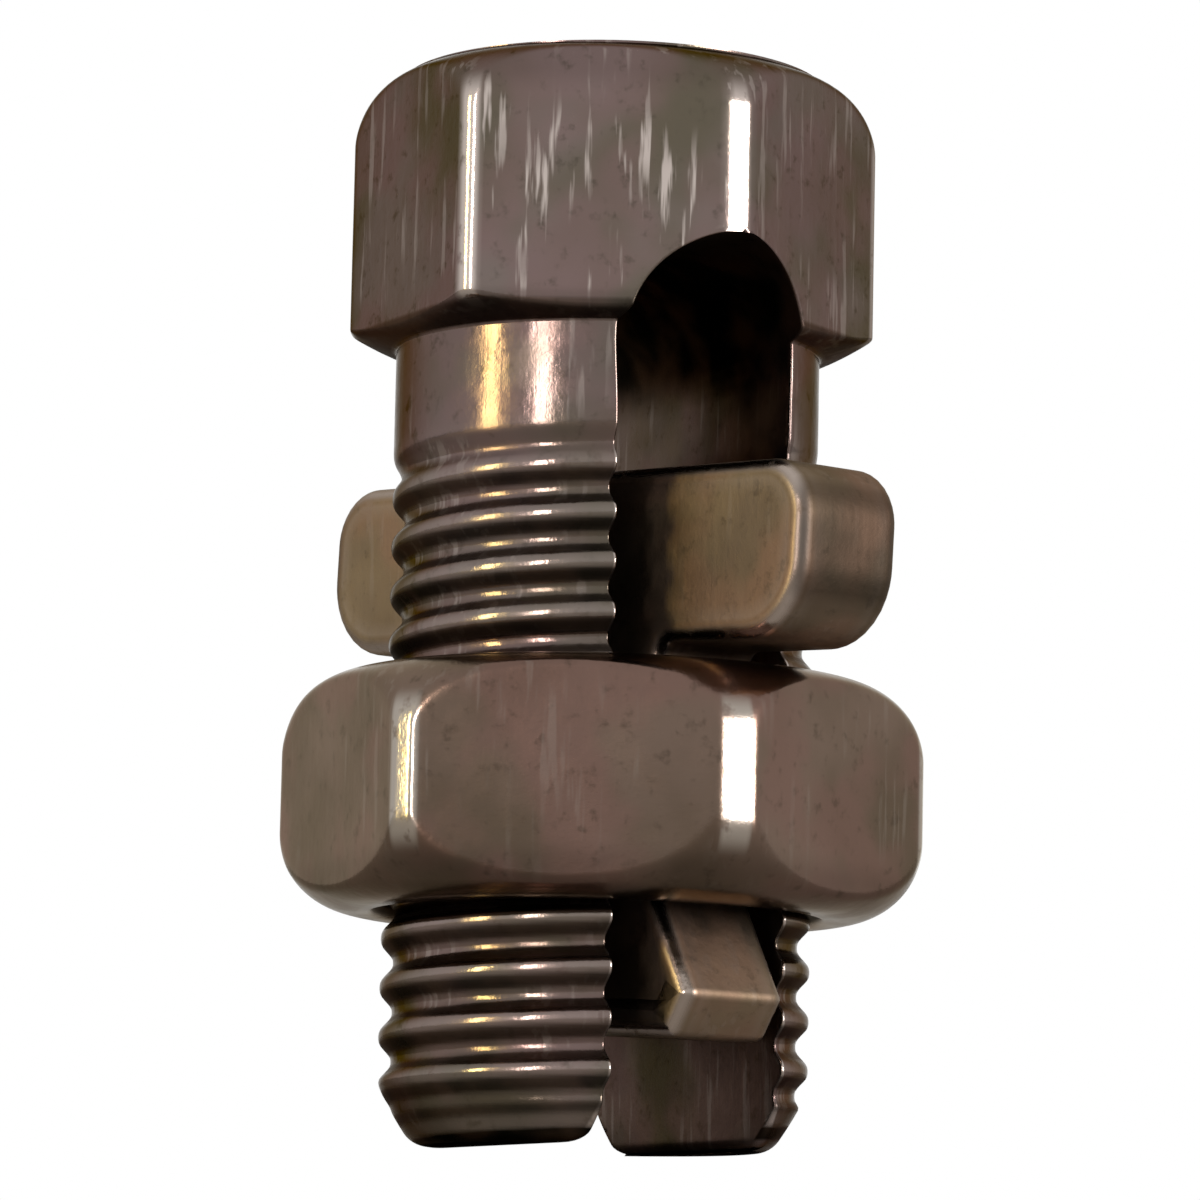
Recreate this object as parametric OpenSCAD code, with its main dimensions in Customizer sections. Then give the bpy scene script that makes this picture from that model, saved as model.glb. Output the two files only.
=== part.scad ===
// Split bolt connector: a slotted hex-head bolt, a T-shaped pressure bar that
// rides in the slot, and a hex nut that lifts the bar against the conductors.
// Origin on the bolt's axis in the plane of the leg ends, +Z towards the head,
// slot open along Y. The bolt carries its worn right-hand thread, and the nut's
// bore is plain, just clear of the thread's crests.

/* [Bolt shank] */
// Crest diameter of the thread and of the smooth shank
thread_d = 11.11; // [10.4:0.01:11.8]
// Advance of the nut for one turn of the right-hand thread
thread_pitch = 1.27; // [1:0.01:1.6]
// Depth of the worn thread below its crests
thread_depth = 0.42; // [0.2:0.02:0.6]
// Length of smooth shank between the thread and the head
smooth_len = 2.1; // [1:0.1:4]
// Height over which the thread runs out into the smooth shank
runout_h = 1.2; // [0.6:0.1:2]
// Height of the head's underside above the leg ends
shank_len = 21.1; // [20:0.1:24]
// Height of the tapered lead at the leg ends
lead_h = 1.7; // [0.8:0.1:2.4]
// Radius that the lead takes off at the leg ends
lead_depth = 0.95; // [0.3:0.05:1.3]

/* [Bolt head] */
// Width across the head's flats
head_af = 12.1; // [11.9:0.05:13]
// Radius of the head's rubbed corners, from the axis
head_corner_r = 6.82; // [6.8:0.01:6.98]
// Height of the head
head_h = 6.7; // [6:0.1:8]
// Radius of the head's rounded upper rim
head_rim_r = 1.8; // [0.6:0.1:2.4]
// Slope of the head's turned underside from level, in degrees
head_under_a = 20; // [5:1:30]
// Turn of the hexagon from the slot's line through two corners, in degrees
head_turn = -1.2; // [-2:0.1:2]

/* [Conductor slot] */
// Width of the slot between the legs
slot_w = 5.2; // [5.1:0.05:5.8]
// Height of the slot's rounded top above the head's underside
slot_rise = 1.75; // [1:0.05:2.5]

/* [Pressure bar] */
// Thickness of the bar across the slot
bar_t = 3.3; // [2.6:0.05:3.3]
// Length of the bar over its two ears
ear_len = 18.7; // [17:0.1:20]
// Height of the ears
ear_h = 4.5; // [4:0.1:5]
// Height of the ears' underside above the nut's top face
ear_lift = 0.8; // [0.7:0.05:1.2]
// Radius of the ears' upper corners
ear_top_r = 1.3; // [0.5:0.1:1.8]
// Radius of the ears' lower corners
ear_low_r = 1.9; // [1:0.1:2.2]
// Length of the tongue inside the nut
neck_len = 8.8; // [8:0.1:9.2]
// Length of the tongue across its flared tip
flare_len = 12.3; // [11.6:0.1:13]
// Height of the flare, from the neck to its widest
flare_h = 3.05; // [2:0.05:3.5]
// Height of the flare's widest line above the tongue's end
tip_h = 1.1; // [0.8:0.1:1.4]
// Length that the tip's slopes take off each end
tip_cut = 0.65; // [0.4:0.05:1]
// Depth of the tongue's widest line below the nut
tip_drop = 1.9; // [1.2:0.1:2.4]
// Turn of the bar in the slot's free play, in degrees
bar_yaw = 9.8; // [0:0.2:9.8]
// Dip of the bar's near ear, in degrees
bar_dip = 2.5; // [0:0.5:2.5]

/* [Nut] */
// Width across the nut's flats
nut_af = 14.8; // [14.2:0.1:16]
// Radius of the nut's rubbed corners, from the axis
nut_corner_r = 8.36; // [8.3:0.01:8.5]
// Height of the nut
nut_h = 6.1; // [5.5:0.1:7]
// Height of the nut's lower face above the leg ends
nut_z = 5.95; // [5.5:0.05:6.5]
// Radius of the nut's rounded rim, top and bottom
nut_rim_r = 2.05; // [1:0.05:2.3]
// Turn of the nut from a corner at -Y, in degrees
nut_turn = -4.9; // [-30:0.1:30]
// Radial clearance of the nut's bore on the thread crests
thread_gap = 0.05; // [0.02:0.01:0.1]
// Depth of the countersink at each mouth of the nut's bore
sink_h = 0.4; // [0.2:0.05:0.7]

/* [Hidden] */
$fn = 96;
over = 1;
thread_sides = 30;
turn_rings = 8;
crest_wear = 0.03;
thread_phase = 0.73;
thread_r = thread_d / 2;
bore_r = thread_r + thread_gap;
slot_r = slot_w / 2;
thread_top = shank_len - smooth_len;
slot_z = shank_len - slot_r + slot_rise;
head_top = shank_len + head_h;
nut_top = nut_z + nut_h;
ear_low_z = nut_top + ear_lift;
ear_mid_z = ear_low_z + ear_h / 2;
tip_wide_z = nut_z - tip_drop;
tip_end_z = tip_wide_z - tip_h;

// Six-sided prism with two of its corners on the Y axis
module hex_prism(across_flats, height) {
    rotate([0, 0, 30])
        cylinder(h = height, d = across_flats / cos(30), $fn = 6);
}

// Outer half of a disc in radius and height, which rounds a turned rim
module rim_round(inner, z, r) {
    translate([inner, z])
        intersection() {
            circle(r = r);
            translate([0, -r])
                square([r, 2 * r]);
        }
}

// Hexagon turned to rubbed corners, a rounded upper rim and a sloped underside
module head() {
    under_h = (head_corner_r - thread_r + over) * tan(head_under_a);
    inner = head_corner_r - head_rim_r;
    intersection() {
        translate([0, 0, -under_h])
            rotate([0, 0, head_turn])
                hex_prism(head_af, head_h + under_h);
        rotate_extrude() {
            polygon([
                [0, -under_h],
                [thread_r - over, -under_h],
                [head_corner_r, 0],
                [head_corner_r, head_h - head_rim_r],
                [inner, head_h - head_rim_r],
                [inner, head_h],
                [0, head_h]
            ]);
            rim_round(inner, head_h - head_rim_r, head_rim_r);
        }
    }
}

// Distance from the axis to the thread's surface at an angle and a height
function thread_surface(angle, z) =
    let (
        phase = 360 * (z / thread_pitch - thread_phase) - angle,
        fade = max(0, min(1, (thread_top - z) / runout_h)),
        cut = thread_depth * fade * (1 - cos(phase)) / 2,
        lead = lead_depth * max(0, 1 - z / lead_h)
    )
    thread_r - crest_wear - max(cut, lead);

// Threaded length with its tapered lead, as rings of points joined by triangles,
// which ends inside the smooth shank
module thread() {
    length = thread_top + over;
    rings = ceil(turn_rings * length / thread_pitch);
    last = thread_sides - 1;
    points = [
        for (i = [0 : rings], j = [0 : last])
            let (
                z = length * i / rings,
                angle = 360 * (j + 0.5) / thread_sides,
                r = thread_surface(angle, z)
            )
            [r * cos(angle), r * sin(angle), z]
    ];
    outside = [
        for (i = [0 : rings - 1], j = [0 : last])
            let (
                k = (j + 1) % thread_sides,
                low = i * thread_sides,
                high = low + thread_sides
            )
            each [
                [low + j, high + j, high + k],
                [low + j, high + k, low + k]
            ]
    ];
    foot = [for (j = [0 : last]) j];
    top = [for (j = [0 : last]) rings * thread_sides + last - j];
    polyhedron(points = points, faces = concat(outside, [foot, top]), convexity = 10);
}

module shank() {
    thread();
    translate([0, 0, thread_top])
        cylinder(h = smooth_len + over, r = thread_r);
}

// Round-topped slot that splits the shank and cuts through the head's corners
module conductor_slot() {
    reach = head_af;
    translate([-slot_r, -reach, -over])
        cube([slot_w, 2 * reach, slot_z + over]);
    translate([0, reach, slot_z])
        rotate([90, 0, 0])
            cylinder(h = 2 * reach, r = slot_r);
}

module bolt() {
    color([0.43, 0.37, 0.30])
        difference() {
            union() {
                shank();
                translate([0, 0, shank_len])
                    head();
            }
            conductor_slot();
        }
}

// Ears in the plane of length and height, with rounded ends
module ear_outline() {
    half = ear_len / 2;
    square_low = ear_low_z + ear_low_r;
    square_top = ear_low_z + ear_h - ear_top_r;
    translate([-half, square_low])
        square([ear_len, square_top - square_low]);
    translate([-half + ear_low_r, ear_low_z])
        square([ear_len - 2 * ear_low_r, ear_h / 2]);
    translate([-half + ear_top_r, ear_mid_z])
        square([ear_len - 2 * ear_top_r, ear_h / 2]);
    for (side = [-1, 1]) {
        translate([side * (half - ear_low_r), square_low])
            circle(r = ear_low_r);
        translate([side * (half - ear_top_r), square_top])
            circle(r = ear_top_r);
    }
}

// Tongue below the ears, which flares under the nut and keeps it captive
module tongue_outline() {
    neck = neck_len / 2;
    wide = flare_len / 2;
    tip = wide - tip_cut;
    polygon([
        [-neck, ear_mid_z],
        [-neck, tip_wide_z + flare_h],
        [-wide, tip_wide_z],
        [-tip, tip_end_z],
        [tip, tip_end_z],
        [wide, tip_wide_z],
        [neck, tip_wide_z + flare_h],
        [neck, ear_mid_z]
    ]);
}

module pressure_bar() {
    color([0.46, 0.41, 0.33])
        rotate([0, 0, bar_yaw])
            translate([0, 0, ear_mid_z])
                rotate([bar_dip, 0, 0])
                    translate([-bar_t / 2, 0, -ear_mid_z])
                        rotate([90, 0, 90])
                            linear_extrude(height = bar_t) {
                                ear_outline();
                                tongue_outline();
                            }
}

// Rounded rim and corners that the nut is turned to
module nut_envelope() {
    straight = nut_h - 2 * nut_rim_r;
    inner = nut_corner_r - nut_rim_r;
    rotate_extrude() {
        square([inner, nut_h]);
        translate([0, nut_rim_r])
            square([nut_corner_r, straight]);
        for (z = [nut_rim_r, nut_h - nut_rim_r])
            rim_round(inner, z, nut_rim_r);
    }
}

module nut() {
    color([0.42, 0.37, 0.32])
        rotate([0, 0, nut_turn])
            translate([0, 0, nut_z])
                difference() {
                    intersection() {
                        hex_prism(nut_af, nut_h);
                        nut_envelope();
                    }
                    translate([0, 0, -over])
                        cylinder(h = nut_h + 2 * over, r = bore_r);
                    cylinder(h = sink_h, r1 = bore_r + sink_h, r2 = bore_r);
                    translate([0, 0, nut_h - sink_h])
                        cylinder(h = sink_h, r1 = bore_r, r2 = bore_r + sink_h);
                }
}

bolt();
pressure_bar();
nut();
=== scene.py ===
"""A split bolt connector: slotted bolt, pressure bar and nut of tarnished bronze."""
import math

import bpy
import bmesh
import numpy as np
from mathutils import Matrix, Vector


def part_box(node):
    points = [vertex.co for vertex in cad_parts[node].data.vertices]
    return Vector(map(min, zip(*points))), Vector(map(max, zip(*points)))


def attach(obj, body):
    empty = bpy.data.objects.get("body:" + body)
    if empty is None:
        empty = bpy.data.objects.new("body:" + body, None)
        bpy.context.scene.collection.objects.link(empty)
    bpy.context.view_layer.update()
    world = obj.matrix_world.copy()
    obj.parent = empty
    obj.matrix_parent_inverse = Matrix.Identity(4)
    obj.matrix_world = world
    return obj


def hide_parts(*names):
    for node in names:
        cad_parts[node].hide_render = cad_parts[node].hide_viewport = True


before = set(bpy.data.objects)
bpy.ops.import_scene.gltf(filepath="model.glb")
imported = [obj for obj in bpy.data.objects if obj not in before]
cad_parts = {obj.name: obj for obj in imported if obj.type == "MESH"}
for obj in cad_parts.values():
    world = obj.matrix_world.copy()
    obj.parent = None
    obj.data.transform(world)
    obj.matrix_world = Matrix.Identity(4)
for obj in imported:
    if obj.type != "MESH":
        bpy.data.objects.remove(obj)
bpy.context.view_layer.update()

MM = 0.001

# Sizes of the object, in millimetres
_, bolt_high = (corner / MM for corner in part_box("bolt"))
nut_low, nut_high = (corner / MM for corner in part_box("nut"))

# The legs' thread, a little worn, which fades out below the smooth shank
THREAD_R = 5.555
THREAD_DEPTH = 0.36
THREAD_PITCH = 1.27
THREAD_PHASE = 0.73
THREAD_END = 16.7
THREAD_FADE = 1.6
ROOT_FLAT = 0.08
CREST_FLAT = 0.96

# The tapered lead and rounding at the leg ends
LEAD_H = 1.7
LEAD_DEPTH = 0.95
LEAD_CURVE = 1.25
LEAD_BLEND = 0.12
FOOT_ROUND = 0.3

# The hex head: across flats, worn corners, rounded upper rim and sloped underside
HEAD_AF = 12.1
HEAD_CORNER_R = 6.825
HEAD_RIM_R = 1.8
HEAD_UNDER = math.radians(20)
HEAD_TURN = math.radians(-2.0)
HEAD_LOW = 21.1
HEAD_TOP = bolt_high.z
HEAD_RIM_Z = HEAD_TOP - HEAD_RIM_R
UNDER_BLEND = 0.3
NECK_BLEND = 0.12

# The saw slot: half its width, the height of its arch's centre, and the rounding of its edges
SLOT_R = 2.6
SLOT_Z = 20.25
SLOT_EDGE = 0.11
SLOT_FOOT_EDGE = 0.4
SLOT_PINCH = 0.05
SLOT_DRIFT = 0.010

# The nut
NUT_AF = 14.8
NUT_CORNER_R = 8.31
NUT_RIM_R = 2.05
NUT_TURN = math.radians(-5.7)
NUT_BORE_R = 5.63
NUT_THREAD_GAP = 0.06
MOUTH_STEP = 0.1
MOUTH_R = NUT_BORE_R + 0.25
MOUTH_H = 0.15
NUT_LOW = nut_low.z
NUT_TOP = nut_high.z

# The pressure bar: thickness, tilt in the slot, ears, neck, flared foot and its tip
BAR_T = 3.3
BAR_YAW = math.radians(9.2)
BAR_DIP = math.radians(3.3)
BAR_EDGE = 0.4
EAR_HALF = 9.6
EAR_LOW = 12.85
EAR_TOP = 17.35
EAR_MID = (EAR_LOW + EAR_TOP) / 2
NECK_HALF = 4.4
FLARE_HALF = 6.3
FLARE_TOP = 7.1
FLARE_Z = 4.05
TIP_HALF = 5.65
TIP_Z = 2.95

# Corners of both hexagons
CORNER_STEP = math.pi / 3
CORNER_UNEVEN = 0.075
CORNER_BLEND = 0.05
RIM_BLEND = 0.1

# Painted shade on the surface, from 0 to 1: a light one on all but the head's flat that faces the
# camera, on the bar's ends, and on the slot's walls, where it changes by a third value between two
# heights
GENERAL_SHADE = 0.2
BAR_END_SHADE = 0.68
WALL_SHADE = 0.58
WALL_CHANGES = ((3.0, 6.0, 0.2), (16.5, 18.5, -0.3), (19.3, 20.9, 0.48))


# ---------------------------------------------------------------- mesh helpers

def smooth_min(a, b, reach):
    """The lower of a and b, blended round over a distance of about reach."""
    h = np.maximum(reach - np.abs(a - b), 0) / reach
    return np.minimum(a, b) - h * h * reach / 4


def smooth_max(a, b, reach):
    """The higher of a and b, blended round over a distance of about reach."""
    return -smooth_min(-a, -b, reach)


def fade(value, start, end):
    """0 at start and 1 at end, eased in between."""
    t = np.clip((value - start) / (end - start), 0, 1)
    return t * t * (3 - 2 * t)


def hump(value, start, top, fall, end):
    """1 between top and fall, eased down to 0 at start and end."""
    return fade(value, start, top) * (1 - fade(value, fall, end))


def hex_radius(theta, across_flats):
    """Distance from the axis to a sharp hexagon with one flat facing angle 0."""
    from_flat = (theta + CORNER_STEP / 2) % CORNER_STEP - CORNER_STEP / 2
    return across_flats / 2 / np.cos(from_flat)


def rim_radius(z, centre, corner_r, rim_r):
    """Radius at a height of a turned body whose rim is rounded above the height of its centre."""
    above = min(max(z - centre, 0), rim_r)
    return corner_r - rim_r + math.sqrt(rim_r ** 2 - above ** 2)


def uneven(corner_r, from_turn):
    """Radius over the hex corners, where every second corner is rubbed down more than the others."""
    return corner_r - CORNER_UNEVEN * np.sin(3 * from_turn)


def corner_blend(hexagon, rim, above):
    """A hexagon cut by a turned body: crisp along the corners, softer above the rim's centre."""
    return smooth_min(hexagon, rim, CORNER_BLEND + RIM_BLEND * float(fade(above, 0.0, 0.8)))


def corner_wear(hexagon, corner_r):
    """How much the hex corners are rubbed bright, 0 on the flats and 1 at the corners."""
    return fade(hexagon, corner_r - 0.03, corner_r + 0.05)


def thread_phase(theta, z):
    """Place along a pitch of the right-hand thread: 0 on a crest, rising to 1 at the next one up."""
    return (z / THREAD_PITCH - theta / (2 * math.pi) - THREAD_PHASE) % 1.0


def thread_cut(theta, z):
    """Depth of the thread below its crests, from 0 to 1."""
    from_root = np.abs(thread_phase(theta, z) - 0.5) * 2
    return 1 - fade(from_root, ROOT_FLAT, CREST_FLAT)


def thread_share(z):
    """1 along the thread, 0 on the smooth shank above it."""
    return 1 - fade(z, THREAD_END, THREAD_END + THREAD_FADE)


# In metres
MERGE_DISTANCE = 8e-7
SLIVER_LENGTH = 1e-7


def mesh_object(name, verts, faces, marks, sharp=40):
    """A smooth-shaded object from vertices in millimetres, with a value per vertex for each mark."""
    mesh = bpy.data.meshes.new(name)
    mesh.from_pydata([tuple(v) for v in np.asarray(verts) * MM], [], faces)
    for mark, values in marks.items():
        layer = mesh.attributes.new(mark, "FLOAT", "POINT")
        layer.data.foreach_set("value", np.asarray(values, dtype=np.float32))
    bm = bmesh.new()
    bm.from_mesh(mesh)
    bmesh.ops.remove_doubles(bm, verts=bm.verts, dist=MERGE_DISTANCE)
    bmesh.ops.dissolve_degenerate(bm, edges=bm.edges, dist=SLIVER_LENGTH)
    bmesh.ops.recalc_face_normals(bm, faces=bm.faces)
    bm.to_mesh(mesh)
    bm.free()
    mesh.polygons.foreach_set("use_smooth", [True] * len(mesh.polygons))
    mesh.set_sharp_from_angle(angle=math.radians(sharp))
    obj = bpy.data.objects.new(name, mesh)
    bpy.context.scene.collection.objects.link(obj)
    return obj


def ring_faces(first, second):
    """Quads between two open rows of vertex numbers."""
    rows = zip(first[:-1], first[1:], second[1:], second[:-1])
    return [tuple(row) for row in rows]


def closed_ring_faces(rings, count):
    """Quads between closed rings of count vertices, for each pair of ring numbers."""
    faces = []
    for i, j in rings:
        for k in range(count):
            m = (k + 1) % count
            faces.append((i * count + k, i * count + m, j * count + m, j * count + k))
    return faces


# ------------------------------------------------------------------------ bolt

# How finely each half of the bolt is divided
INNER_ANGLE = math.radians(48)
INNER_STEPS = 72
OUTER_STEPS = 16
ROUND_STEPS = 6
CORNER_BUNCH = 0.085
END_BUNCH = 1.6
WALL_PLACES = np.array((0.0, 0.015, 0.2, 0.5, 0.8, 0.985, 1.0))
RINGS_PER_TURN = 16
UNDER_STEP = 0.035
TOP_SHARES = (0.9, 0.6, 0.3)


def shank_radius(theta, z):
    """Radius of the threaded legs and the smooth shank above them."""
    threaded = THREAD_R - THREAD_DEPTH * thread_cut(theta, z) * thread_share(z)
    lead = THREAD_R - LEAD_DEPTH * max(1 - z / LEAD_H, 0) ** LEAD_CURVE - foot_inset(z)
    return smooth_min(threaded, lead, LEAD_BLEND)


def foot_inset(z):
    """How far the rounded leg ends draw in at a height."""
    down = min(max(1 - z / FOOT_ROUND, 0), 1)
    return FOOT_ROUND * (1 - math.sqrt(1 - down * down))


def bolt_radius(theta, z):
    """Distance from the axis to the bolt's outside, from the leg ends to the head's rim."""
    hexagon = hex_radius(theta - HEAD_TURN, HEAD_AF)
    rim = rim_radius(z, HEAD_RIM_Z, uneven(HEAD_CORNER_R, theta - HEAD_TURN), HEAD_RIM_R)
    under = HEAD_CORNER_R + (z - HEAD_LOW) / math.tan(HEAD_UNDER)
    head = smooth_min(corner_blend(hexagon, rim, z - HEAD_RIM_Z), under, UNDER_BLEND)
    return smooth_max(shank_radius(theta, z), head, NECK_BLEND)


def bolt_wear(theta, z):
    """How much handling has rubbed the bolt bright, from 0 to 1."""
    shank = 0.25 * (1 - thread_cut(theta, z)) ** 3 * thread_share(z)
    corner = corner_wear(hex_radius(theta - HEAD_TURN, HEAD_AF), HEAD_CORNER_R)
    head = corner * (1 - fade(z, HEAD_RIM_Z + 0.2, HEAD_RIM_Z + 1.0))
    share = fade(z, HEAD_LOW - 0.3, HEAD_LOW)
    return shank * (1 - share) + head * share


def unshaded_front_flat(theta, z):
    """1 on the one flat of the head that faces the camera, which is left out of the painted shade, 0
    elsewhere.
    """
    facing = fade(np.cos(theta - HEAD_TURN + 2 * CORNER_STEP), 0.80, 0.90)
    above = 1 - fade(z, HEAD_RIM_Z + 0.2, HEAD_RIM_Z + 1.0)
    return facing * fade(z, HEAD_LOW, HEAD_LOW + 0.3) * above


def bolt_painted_shade(theta, z):
    """How dark the bolt is painted, from 0 to 1: painted shade in the thread's flanks, under the head
    and at the leg ends, and a light painted shade on all but the head's flat that faces the camera.
    """
    # Painted shade: dark bands on the flanks either side of each root, a band under the head, the leg
    # ends, and a light shade everywhere but the flat facing the camera.
    phase = thread_phase(theta, z)
    under_crest = hump(phase, 0.56, 0.68, 0.84, 0.95)
    over_crest = hump(phase, 0.12, 0.26, 0.34, 0.46)
    thread = (0.85 * under_crest + 0.6 * over_crest) * thread_share(z)
    under_head = hump(z, HEAD_LOW - 0.55, HEAD_LOW - 0.40, HEAD_LOW - 0.12, HEAD_LOW + 0.06)
    foot = 0.35 * (1 - fade(z, 0.0, 1.6))
    general_shade = GENERAL_SHADE * (1 - unshaded_front_flat(theta, z))
    return np.maximum(thread + 0.75 * under_head + foot, general_shade)


def wall_painted_shade(z):
    """How dark the slot's walls are painted at a height, from the leg ends to the arch: painted shade in
    the slot.
    """
    painted_shade = WALL_SHADE
    for start, end, change in WALL_CHANGES:
        painted_shade = painted_shade + change * fade(z, start, end)
    return painted_shade


def half_angles(edge):
    """Angles from -edge to edge, closer together at the hex corners and at the slot."""
    t = np.linspace(-1, 1, INNER_STEPS + 1)
    inner = INNER_ANGLE * t
    inner = inner + CORNER_BUNCH * np.sin(6 * inner)
    inner = inner * INNER_ANGLE / inner[-1]
    s = np.linspace(0, 1, OUTER_STEPS + 1)[1:]
    end = INNER_ANGLE + (edge - INNER_ANGLE) * (1 - (1 - s) ** END_BUNCH)
    return np.concatenate([-end[::-1], inner, end])


def slot_half(z):
    """Half of the slot's width at a height."""
    above = max(z - SLOT_Z, 0)
    pinch = SLOT_PINCH * (1 - fade(z, SLOT_Z - 2, SLOT_Z))
    return math.sqrt(max(SLOT_R ** 2 - above ** 2, 0)) - pinch + foot_inset(z)


def slot_shift(z):
    """How far the saw cut has drifted sideways, towards +X, at a height."""
    return SLOT_DRIFT * (SLOT_Z + SLOT_R - z)


def slot_round(z):
    """Size of the rounding along the slot's edges, larger at the leg ends."""
    return SLOT_EDGE + SLOT_FOOT_EDGE * max(1 - z / LEAD_H, 0) ** 2


def edge_angle(turn, side, z, half):
    """Angle from the middle of a half at which its outside meets the slot's wall."""
    low, high = 0.3, math.pi / 2
    for _ in range(40):
        mid = (low + high) / 2
        x = float(bolt_radius(np.array([turn + side * mid]), z)[0]) * math.cos(mid)
        low, high = (mid, high) if x > half else (low, mid)
    return (low + high) / 2


def bezier(a, b, c, steps):
    """Points of a curve from a to c that b draws towards itself."""
    t = np.linspace(0, 1, steps + 1)[:, None]
    return (1 - t) ** 2 * a + 2 * t * (1 - t) * b + t ** 2 * c


def half_ring(z, turn, cut):
    """Outer row, its wear and painted shade, and wall row of one half of the bolt at a height."""
    def outside(angle):
        r = bolt_radius(turn + angle, z)
        return np.stack([r * np.cos(angle), r * np.sin(angle)], 1)

    if not cut:
        angles = half_angles(math.pi / 2)
        first = np.repeat(angles[:1], ROUND_STEPS)
        last = np.repeat(angles[-1:], ROUND_STEPS)
        angles = np.concatenate([first, angles, last])
        outer = outside(angles)
        wear = bolt_wear(turn + angles, z)
        painted_shade = bolt_painted_shade(turn + angles, z)
        wall = None
    else:
        half = slot_half(z) + slot_shift(z) * math.cos(turn)
        top = edge_angle(turn, 1, z, half)
        low = edge_angle(turn, -1, z, half)
        size = slot_round(z)
        reach = size / THREAD_R
        body = half_angles(top - reach)
        angles = np.where(body < 0, body * (low - reach) / (top - reach), body)
        outer = outside(angles)
        up = outside(np.array([top]))[0]
        down = outside(np.array([-low]))[0]
        step = np.array([0.0, size])
        up_round = bezier(outer[-1], up, up - step, ROUND_STEPS)[1:]
        down_round = bezier(down + step, down, outer[0], ROUND_STEPS)[:-1]
        outer = np.concatenate([down_round, outer, up_round])
        wear = bolt_wear(turn + angles, z)
        painted_shade = bolt_painted_shade(turn + angles, z)
        crest = (1 - thread_cut(turn + angles, z)) * thread_share(z)
        first = np.full(ROUND_STEPS, crest[0])
        last = np.full(ROUND_STEPS, crest[-1])
        wear = np.concatenate([first, wear, last])
        # The painted shade rises over the slot edge's rounding to the wall's.
        to_wall = np.linspace(0, wall_painted_shade(z), ROUND_STEPS)
        first = np.maximum(to_wall[::-1], painted_shade[0])
        last = np.maximum(to_wall, painted_shade[-1])
        painted_shade = np.concatenate([first, painted_shade, last])
        places = WALL_PLACES[:, None]
        wall = outer[-1] * (1 - places) + outer[0] * places
    return outer, wear, painted_shade, wall


def placed(row, z, turn):
    """A row of points of one half, turned to its place on the bolt."""
    c, s = math.cos(turn), math.sin(turn)
    x = row[:, 0] * c - row[:, 1] * s
    y = row[:, 0] * s + row[:, 1] * c
    return np.stack([x, y, np.full(len(row), z)], 1)


def bolt_levels():
    """Heights of the bolt's rings, as (height, whether the slot cuts it)."""
    apex = SLOT_Z + SLOT_R
    under_z = HEAD_LOW - 0.62
    cone_end = HEAD_LOW + 0.24
    foot = FOOT_ROUND * (1 - np.cos(np.radians(np.arange(0, 90, 15))))
    thread = np.arange(FOOT_ROUND, THREAD_END + THREAD_FADE, THREAD_PITCH / RINGS_PER_TURN)
    shank = np.linspace(thread[-1], under_z, 8)[1:-1]
    cone = np.arange(under_z, cone_end, UNDER_STEP)
    arch = SLOT_Z + SLOT_R * np.sin(np.radians(np.arange(25, 90.1, 3.25)))
    cut = np.concatenate([foot, thread, shank, cone, arch[arch > cone_end]])
    flats = np.linspace(apex + 0.12, HEAD_RIM_Z, 12)
    rim = HEAD_RIM_Z + HEAD_RIM_R * np.sin(np.radians(np.arange(2, 90.1, 3.5)))
    levels = [(float(z), True) for z in cut]
    levels += [(float(z), False) for z in np.concatenate([flats, rim])]
    return levels


def build_bolt():
    """Both halves of the bolt as stacked rows, each with its outside, slot wall and half of the top."""
    verts = []
    wears = []
    painted_shades = []
    faces = []

    def add(points, wear, painted_shade):
        start = len(verts)
        verts.extend(points)
        wears.extend(np.broadcast_to(wear, len(points)))
        painted_shades.extend(np.broadcast_to(painted_shade, len(points)))
        return list(range(start, start + len(points)))

    for turn in (0.0, math.pi):
        outer_before = None
        wall_before = None
        for z, cut in bolt_levels():
            outer, wear, painted_shade, wall = half_ring(z, turn, cut)
            outer_now = add(placed(outer, z, turn), wear, painted_shade)
            wall_now = None
            if cut:
                # Painted shade on the slot's walls, deepening across each wall towards one side from 12
                # mm up.
                darker_end = 0.35 * fade(WALL_PLACES, 0.35, 0.8) * fade(z, 12.0, 16.0)
                painted_shade = np.minimum(wall_painted_shade(z) + darker_end, 1)
                wall_now = add(placed(wall, z, turn), 0.0, painted_shade)
            if outer_before:
                faces += ring_faces(outer_before, outer_now)
            if wall_before and wall_now:
                faces += ring_faces(wall_before, wall_now)
            if outer_before is None:
                faces.append(tuple(reversed(outer_now + wall_now[1:-1])))
            outer_before, wall_before = outer_now, wall_now
        rim = np.array([verts[i] for i in outer_before])
        # The head's top takes the light painted shade.
        for share in TOP_SHARES:
            now = add(rim * np.array([share, share, 1]), 0.1, GENERAL_SHADE)
            faces += ring_faces(outer_before, now)
            outer_before = now
        faces.append(tuple(outer_before))
    return mesh_object("bolt_body_mesh", verts, faces, {"wear": wears, "painted_shade": painted_shades})


# ------------------------------------------------------------------------- nut

NUT_COUNT = 360
NUT_BUNCH = 0.10


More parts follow.
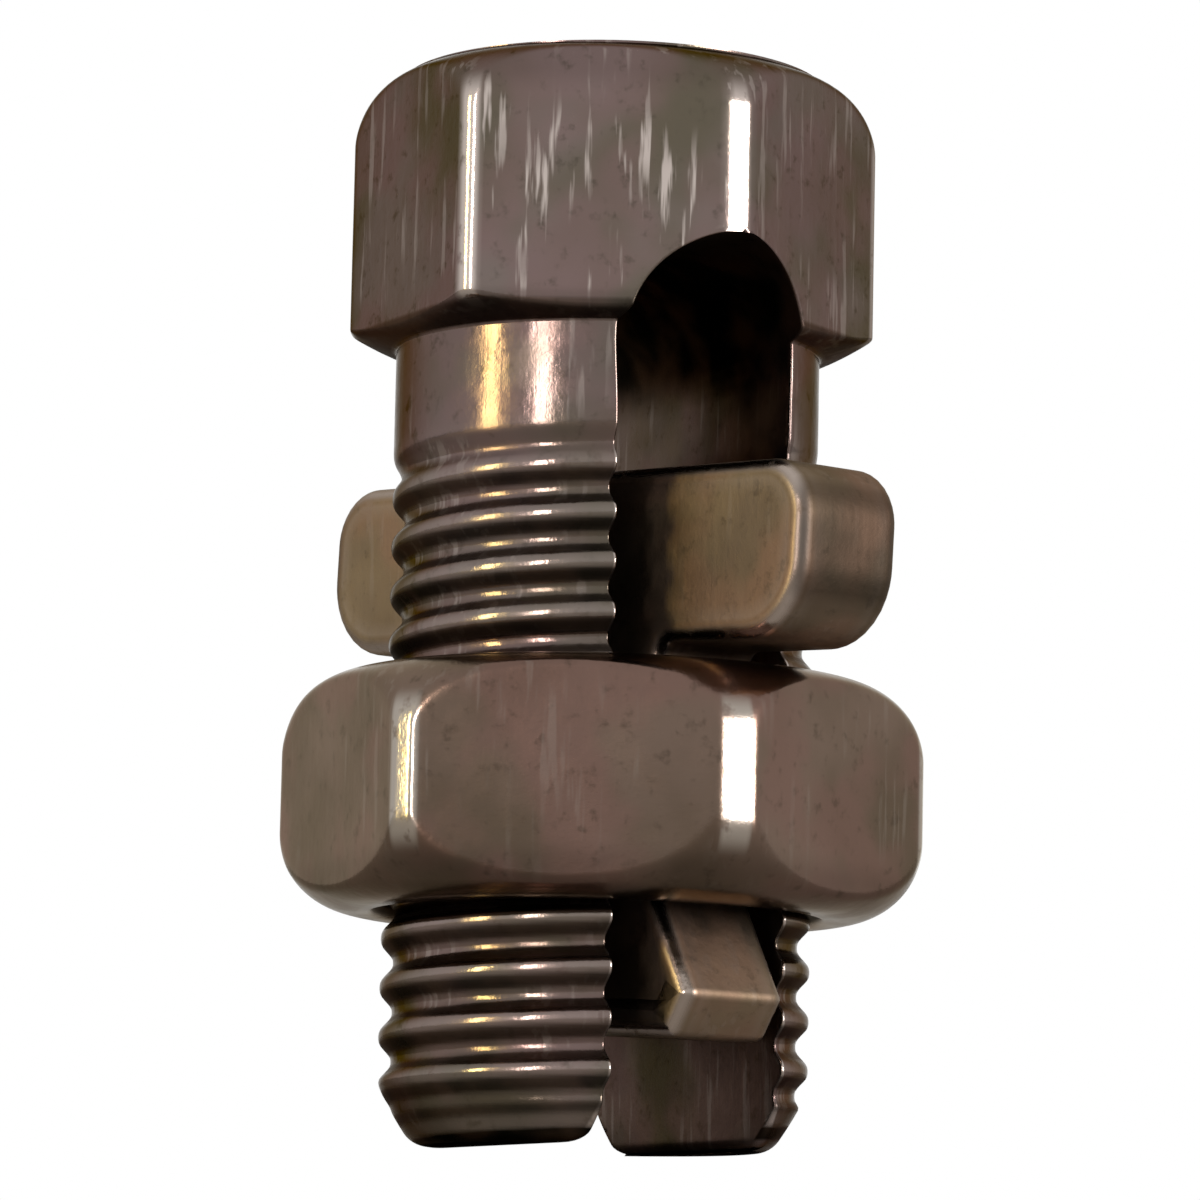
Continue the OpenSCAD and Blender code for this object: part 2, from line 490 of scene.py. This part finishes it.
def build_nut():
    """Rings from the bore's lower mouth round the outside to its upper mouth, then down the thread."""
    base = np.linspace(0, 2 * math.pi, NUT_COUNT, endpoint=False)
    from_flat = base + NUT_BUNCH * np.sin(6 * base)
    angles = from_flat + CORNER_STEP / 2 - math.pi / 2 + NUT_TURN
    hexagon = hex_radius(from_flat, NUT_AF)
    corner = corner_wear(hexagon, NUT_CORNER_R)
    middle = (NUT_LOW + NUT_TOP) / 2
    straight = (NUT_TOP - NUT_LOW) / 2 - NUT_RIM_R
    rings = []
    wears = []
    painted_shades = []

    def ring(radius, z, wear, painted_shade=0.0):
        radius = np.broadcast_to(radius, NUT_COUNT)
        height = np.full(NUT_COUNT, z)
        rings.append(np.stack([radius * np.cos(angles), radius * np.sin(angles), height], 1))
        wears.append(np.broadcast_to(wear, NUT_COUNT))
        painted_shades.append(np.full(NUT_COUNT, painted_shade))

    def outside(off):
        """A ring at a height above the nut's middle."""
        corner_r = uneven(NUT_CORNER_R, angles - NUT_TURN)
        rim = rim_radius(abs(off), straight, corner_r, NUT_RIM_R)
        wear = corner * (1 - fade(abs(off), straight + 0.5, straight + 1.1))
        # Painted shade on the lower rim, which faces down.
        painted_shade = 0.3 * fade(-off, straight + 0.6, straight + 1.4)
        ring(corner_blend(hexagon, rim, abs(off) - straight), middle + off, wear, painted_shade)

    # The bore's lower mouth is painted fully in shade.
    ring(NUT_BORE_R + MOUTH_STEP, NUT_LOW + MOUTH_H, 0.0, 1.0)
    ring(MOUTH_R, NUT_LOW, 0.3)
    rim_steps = straight + NUT_RIM_R * np.sin(np.radians(np.arange(0, 90.1, 3)))
    for off in -rim_steps[::-1]:
        outside(off)
    for off in np.linspace(-straight, straight, 8)[1:-1]:
        outside(off)
    for off in rim_steps:
        outside(off)
    ring(MOUTH_R, NUT_TOP, 0.3)
    # The bore's thread, painted fully in shade.
    for z in np.arange(NUT_TOP - MOUTH_H, NUT_LOW + MOUTH_H, -THREAD_PITCH / 12):
        mouth = fade(min(NUT_TOP - z, z - NUT_LOW), 0.1, 0.45)
        thread = THREAD_R - THREAD_DEPTH * thread_cut(angles, z) + NUT_THREAD_GAP
        ring(thread * mouth + (NUT_BORE_R + MOUTH_STEP) * (1 - mouth), z, 0.0, 1.0)
    pairs = [(i, (i + 1) % len(rings)) for i in range(len(rings))]
    faces = closed_ring_faces(pairs, NUT_COUNT)
    marks = {"wear": np.concatenate(wears), "painted_shade": np.concatenate(painted_shades)}
    return mesh_object("nut_mesh", np.concatenate(rings), faces, marks, 50)


# ----------------------------------------------------------------- pressure bar

def rounded_outline(corners, steps):
    """A closed outline whose corners, given as (across, up, radius), are rounded by arcs."""
    points = []
    total = len(corners)
    for i, (x, y, radius) in enumerate(corners):
        here = np.array([x, y])
        before = np.array(corners[i - 1][:2]) - here
        after = np.array(corners[(i + 1) % total][:2]) - here
        before = before / np.linalg.norm(before)
        after = after / np.linalg.norm(after)
        half = math.acos(np.clip(before @ after, -1, 1)) / 2
        middle = (before + after) / np.linalg.norm(before + after)
        centre = here + middle * radius / math.sin(half)
        start = here + before * radius / math.tan(half) - centre
        end = here + after * radius / math.tan(half) - centre
        for t in np.linspace(0, 1, steps + 1):
            spoke = start * (1 - t) + end * t
            points.append(centre + spoke * radius / np.linalg.norm(spoke))
    return np.array(points)


def inset(outline, distance):
    """The outline drawn in by a distance along its own normals."""
    along = np.roll(outline, -1, 0) - np.roll(outline, 1, 0)
    along = along / np.linalg.norm(along, axis=1)[:, None]
    inward = np.stack([-along[:, 1], along[:, 0]], 1)
    return outline + inward * distance


def bar_outline():
    """Outline of the T in length and height, counter-clockwise."""
    half = [(TIP_HALF, TIP_Z, 0.35), (FLARE_HALF, FLARE_Z, 0.3), (NECK_HALF, FLARE_TOP, 0.6)]
    half += [(NECK_HALF, EAR_LOW, 0.4), (EAR_HALF, EAR_LOW, 2.0), (EAR_HALF, EAR_TOP, 1.5)]
    return rounded_outline(half + [(-x, y, r) for x, y, r in reversed(half)], 10)


def build_bar():
    """Rings across the bar's thickness, rounded at both faces, with a rubbed line along each edge."""
    outline = bar_outline()
    count = len(outline)
    flat = BAR_T / 2 - BAR_EDGE
    arcs = np.radians(np.arange(90, -0.1, -11.25))
    profile = [(BAR_T / 2, BAR_EDGE + 0.5, 0.0), (BAR_T / 2, BAR_EDGE + 0.12, 0.15)]
    for a in arcs:
        place = flat + BAR_EDGE * math.sin(a)
        profile.append((place, BAR_EDGE * (1 - math.cos(a)), math.sin(2 * a) ** 2))
    profile += [(flat - 0.15, 0.0, 0.1), (flat - 0.5, 0.0, 0.0)]
    profile = profile + [(-place, draw, wear) for place, draw, wear in reversed(profile)]
    verts = []
    wears = []
    painted_shades = []
    for place, draw, wear in profile:
        for u, z in inset(outline, draw):
            verts.append(Vector((place, u, z - EAR_MID)))
            wears.append(wear)
            # Painted shade on the ends of the ears.
            painted_shades.append(BAR_END_SHADE * float(fade(abs(u), EAR_HALF - 0.5, EAR_HALF - 0.1)))
    turned_bar = Matrix.Rotation(BAR_YAW, 4, "Z") @ Matrix.Translation((0, 0, EAR_MID))
    turned_bar = turned_bar @ Matrix.Rotation(BAR_DIP, 4, "X")
    verts = [turned_bar @ v for v in verts]
    last = len(profile) - 1
    faces = closed_ring_faces([(i, i + 1) for i in range(last)], count)
    faces.append(tuple(range(count)))
    faces.append(tuple(range(last * count, (last + 1) * count)))
    marks = {"wear": wears, "painted_shade": painted_shades}
    return mesh_object("pressure_bar_mesh", verts, faces, marks, 35)


# -------------------------------------------------------------------- materials

class Nodes:
    """Short names for the shader nodes that the materials use. Noise scales are per metre."""

    def __init__(self, name):
        self.material = bpy.data.materials.new(name)
        self.material.use_nodes = True
        self.tree = self.material.node_tree
        self.shader = self.tree.nodes["Principled BSDF"]
        self.coords = self.tree.nodes.new("ShaderNodeTexCoord").outputs["Object"]

    def link(self, a, b):
        self.tree.links.new(a, b)

    def put(self, value, socket):
        """Links a socket, or sets a colour or a number."""
        if isinstance(value, bpy.types.NodeSocket):
            self.link(value, socket)
        elif isinstance(value, tuple):
            socket.default_value = (*value, 1)
        else:
            socket.default_value = value

    def mark(self, name):
        """The value that a mesh carries for a mark, such as its wear."""
        node = self.tree.nodes.new("ShaderNodeAttribute")
        node.attribute_name = name
        return node.outputs["Fac"]

    def scaled(self, size):
        node = self.tree.nodes.new("ShaderNodeMapping")
        node.inputs["Scale"].default_value = size
        self.link(self.coords, node.inputs["Vector"])
        return node.outputs["Vector"]

    def noise(self, scale, detail=6, rough=0.6, vector=None):
        node = self.tree.nodes.new("ShaderNodeTexNoise")
        node.inputs["Scale"].default_value = scale
        node.inputs["Detail"].default_value = detail
        node.inputs["Roughness"].default_value = rough
        self.link(vector or self.coords, node.inputs["Vector"])
        return node.outputs["Fac"]

    def between(self, value, start, end, low=0.0, high=1.0):
        """Value mapped from start..end to low..high, and held beyond them."""
        node = self.tree.nodes.new("ShaderNodeMapRange")
        node.interpolation_type = "SMOOTHSTEP"
        node.inputs["From Min"].default_value = start
        node.inputs["From Max"].default_value = end
        node.inputs["To Min"].default_value = low
        node.inputs["To Max"].default_value = high
        self.link(value, node.inputs["Value"])
        return node.outputs["Result"]

    def mix(self, factor, a, b):
        node = self.tree.nodes.new("ShaderNodeMix")
        node.data_type = "RGBA"
        self.put(factor, node.inputs[0])
        self.put(a, node.inputs[6])
        self.put(b, node.inputs[7])
        return node.outputs[2]

    def math(self, operation, a, b):
        """The result of an operation, held between 0 and 1."""
        node = self.tree.nodes.new("ShaderNodeMath")
        node.operation = operation
        node.use_clamp = True
        self.put(a, node.inputs[0])
        self.put(b, node.inputs[1])
        return node.outputs[0]

    def bump(self, height, distance, before=None):
        node = self.tree.nodes.new("ShaderNodeBump")
        node.inputs["Distance"].default_value = distance
        node.inputs["Strength"].default_value = 1
        self.link(height, node.inputs["Height"])
        if before:
            self.link(before, node.inputs["Normal"])
        return node.outputs["Normal"]


# Scales of the upright scratches, the roughness of bright metal and under painted shade, the colours of
# the painted shade, and the depths of the grain and the scratches in metres
SCRATCH_STRETCH = (3000, 3000, 260)
SCRATCH_ROUGH = 0.14
SHADE_ROUGH = 0.5
DEEP_SHADE = (0.004, 0.004, 0.003)
BROWN_SHADE = (0.034, 0.022, 0.015)
GRAIN_DEPTH = 0.00001
SCRATCH_DEPTH = 0.000005


def bronze(name, plain, dark, bright, edge_tint, rough, scratches):
    """Tarnished bronze: mottled brown, rubbed at its edges, darkened by painted shade where the mesh
    marks it, with upright scratches.
    """
    n = Nodes(name)
    patches = n.between(n.noise(190, 3, 0.5), 0.38, 0.62)
    colour = n.mix(patches, dark, plain)
    tint = n.between(n.noise(330, 2, 0.5), 0.42, 0.60)
    warm = (plain[0] * 1.12, plain[1] * 0.90, plain[2] * 0.98)
    colour = n.mix(n.math("MULTIPLY", tint, 0.55), colour, warm)
    grain = n.noise(2300, 5, 0.65)
    stain = n.between(grain, 0.54, 0.72, 0.0, 0.5)
    colour = n.mix(stain, colour, tuple(c * 0.5 for c in dark))

    streaks = n.noise(1.0, 3, 0.55, n.scaled(SCRATCH_STRETCH))
    where = n.between(n.noise(260, 2, 0.5), 0.42, 0.58)
    scratch = n.math("MULTIPLY", n.between(streaks, 0.55, 0.64, 0.0, scratches), where)
    scratch = n.math("MULTIPLY", scratch, n.between(n.mark("painted_shade"), 0.0, GENERAL_SHADE, 1.0, 0.3))
    worn_through = n.between(n.noise(1500, 4, 0.6), 0.30, 0.44, 0.35, 1.0)
    rubbed = n.math("MULTIPLY", n.mark("wear"), worn_through)
    shine = n.math("MAXIMUM", scratch, rubbed)
    colour = n.mix(shine, colour, bright)
    # Painted shade: where the mesh marks it, the colour is blended towards near black and dark brown.
    painted_shade = n.mark("painted_shade")
    shade_colour = n.mix(n.between(n.noise(420, 3, 0.5), 0.40, 0.62), DEEP_SHADE, BROWN_SHADE)
    colour = n.mix(painted_shade, colour, shade_colour)
    n.link(colour, n.shader.inputs["Base Color"])
    n.shader.inputs["Metallic"].default_value = 1.0
    n.shader.inputs["Specular Tint"].default_value = (*edge_tint, 1)

    dull = n.between(n.noise(700, 5, 0.6), 0.35, 0.65, rough - 0.04, rough + 0.05)
    roughness = n.mix(shine, dull, (SCRATCH_ROUGH,) * 3)
    # Rougher under the painted shade.
    roughness = n.mix(n.between(painted_shade, GENERAL_SHADE, 1.0), roughness, (SHADE_ROUGH,) * 3)
    n.link(roughness, n.shader.inputs["Roughness"])
    normal = n.bump(grain, GRAIN_DEPTH)
    normal = n.bump(streaks, SCRATCH_DEPTH, normal)
    n.link(normal, n.shader.inputs["Normal"])
    return n.material


# ------------------------------------------------------------------------ scene

# The viewer's place round the part, and the camera in the viewer's frame, in millimetres
PHOTO_TURN = math.radians(-30.2)
CAMERA_LENS = 171.1
CAMERA_PITCH = math.radians(7.74)
CAMERA_ROLL = math.radians(1.244)
CAMERA_PLACE = (-0.07, -146.84, -5.74)

# The floor's half size and how far it lies under the leg ends, in metres
FLOOR_HALF = 1.2
FLOOR_DROP = 0.00002


def turned(x, y, z):
    """A point of the viewer's frame, x right and y away, in the part's frame, in metres."""
    c, s = math.cos(PHOTO_TURN), math.sin(PHOTO_TURN)
    return Vector((x * c - y * s, x * s + y * c, z)) * MM


def add_camera():
    """The photo's camera: a little below the part's middle, looking up, and slightly rolled."""
    data = bpy.data.cameras.new("camera")
    data.lens = CAMERA_LENS
    data.sensor_width = 36
    data.clip_start = 0.01
    data.clip_end = 20
    camera = bpy.data.objects.new("camera", data)
    bpy.context.scene.collection.objects.link(camera)
    forward = turned(0, math.cos(CAMERA_PITCH), math.sin(CAMERA_PITCH)).normalized()
    up = turned(0, -math.sin(CAMERA_PITCH), math.cos(CAMERA_PITCH)).normalized()
    right = turned(1, 0, 0).normalized()
    image_right = right * math.cos(CAMERA_ROLL) + up * math.sin(CAMERA_ROLL)
    image_up = up * math.cos(CAMERA_ROLL) - right * math.sin(CAMERA_ROLL)
    basis = Matrix((image_right, image_up, -forward)).transposed().to_4x4()
    camera.matrix_world = Matrix.Translation(turned(*CAMERA_PLACE)) @ basis
    bpy.context.scene.camera = camera


def add_lamp(name, azimuth, elevation, width, height, radiance, colour, distance=420):
    """A soft box sized in millimetres. Azimuth 0 is the viewer's and grows to the viewer's right."""
    data = bpy.data.lights.new(name, "AREA")
    data.shape = "RECTANGLE"
    data.size = width * MM
    data.size_y = height * MM
    data.energy = radiance * math.pi * width * height * MM * MM
    data.color = colour
    lamp = bpy.data.objects.new(name, data)
    bpy.context.scene.collection.objects.link(lamp)
    a, e = math.radians(azimuth), math.radians(elevation)
    centre = Vector((0, 0, 14 * MM))
    level = distance * math.cos(e)
    place = centre + turned(level * math.sin(a), -level * math.cos(a), distance * math.sin(e))
    facing = (centre - place).to_track_quat("-Z", "Y").to_matrix().to_4x4()
    lamp.matrix_world = Matrix.Translation(place) @ facing


def add_world():
    """White where the camera, gloss or glass looks past the object, and a soft grey for fill."""
    world = bpy.data.worlds.new("studio")
    bpy.context.scene.world = world
    world.use_nodes = True
    tree = world.node_tree
    path = tree.nodes.new("ShaderNodeLightPath")
    seen = tree.nodes.new("ShaderNodeMath")
    seen.operation = "MAXIMUM"
    tree.links.new(path.outputs["Is Camera Ray"], seen.inputs[0])
    also = tree.nodes.new("ShaderNodeMath")
    also.operation = "MAXIMUM"
    tree.links.new(path.outputs["Is Glossy Ray"], also.inputs[0])
    tree.links.new(path.outputs["Is Transmission Ray"], also.inputs[1])
    tree.links.new(also.outputs[0], seen.inputs[1])
    strength = tree.nodes.new("ShaderNodeMapRange")
    strength.inputs["To Min"].default_value = 0.35
    strength.inputs["To Max"].default_value = 1.0
    tree.links.new(seen.outputs[0], strength.inputs["Value"])
    background = tree.nodes["Background"]
    background.inputs["Color"].default_value = (1, 1, 1, 1)
    tree.links.new(strength.outputs["Result"], background.inputs["Strength"])


def add_floor():
    """A pale floor under the leg ends, which can be looked through from below."""
    size = FLOOR_HALF
    corners = [(-size, -size, 0), (size, -size, 0), (size, size, 0), (-size, size, 0)]
    mesh = bpy.data.meshes.new("floor")
    mesh.from_pydata(corners, [], [(0, 1, 2, 3)])
    floor = bpy.data.objects.new("floor", mesh)
    bpy.context.scene.collection.objects.link(floor)
    floor.location.z = -FLOOR_DROP
    material = bpy.data.materials.new("floor")
    material.use_nodes = True
    tree = material.node_tree
    shader = tree.nodes["Principled BSDF"]
    shader.inputs["Base Color"].default_value = (0.86, 0.86, 0.86, 1)
    shader.inputs["Roughness"].default_value = 0.9
    clear = tree.nodes.new("ShaderNodeBsdfTransparent")
    mix = tree.nodes.new("ShaderNodeMixShader")
    geometry = tree.nodes.new("ShaderNodeNewGeometry")
    tree.links.new(geometry.outputs["Backfacing"], mix.inputs[0])
    tree.links.new(shader.outputs[0], mix.inputs[1])
    tree.links.new(clear.outputs[0], mix.inputs[2])
    tree.links.new(mix.outputs[0], tree.nodes["Material Output"].inputs["Surface"])
    mesh.materials.append(material)


def dress(piece, body, node, material):
    """Gives a piece its material and puts it in the place of the node on its body."""
    piece.data.materials.append(material)
    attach(piece, body)
    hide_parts(node)


add_camera()
add_world()
add_floor()
add_lamp("warm_left", -65.0, 8, 50, 200, 20, (1.0, 0.82, 0.34))
add_lamp("pink_front", -34.7, 8, 42, 200, 24, (1.0, 0.86, 0.80))
add_lamp("white_right", 54.5, 8, 150, 200, 20, (1.0, 0.94, 0.91))

bolt_bronze = bronze(
    "bolt_bronze",
    plain=(0.170, 0.134, 0.120),
    dark=(0.112, 0.094, 0.068),
    bright=(0.50, 0.43, 0.39),
    edge_tint=(0.36, 0.33, 0.29),
    rough=0.17,
    scratches=1.0,
)
bar_bronze = bronze(
    "bar_bronze",
    plain=(0.176, 0.132, 0.086),
    dark=(0.126, 0.094, 0.066),
    bright=(0.36, 0.30, 0.26),
    edge_tint=(0.46, 0.42, 0.37),
    rough=0.48,
    scratches=0.1,
)
nut_bronze = bronze(
    "nut_bronze",
    plain=(0.146, 0.102, 0.078),
    dark=(0.098, 0.070, 0.049),
    bright=(0.34, 0.30, 0.26),
    edge_tint=(0.75, 0.70, 0.62),
    rough=0.20,
    scratches=0.14,
)

dress(build_bolt(), "bolt_body", "bolt", bolt_bronze)
dress(build_bar(), "bar_body", "pressure_bar", bar_bronze)
dress(build_nut(), "nut_body", "nut", nut_bronze)

bpy.context.scene.view_settings.view_transform = "Standard"
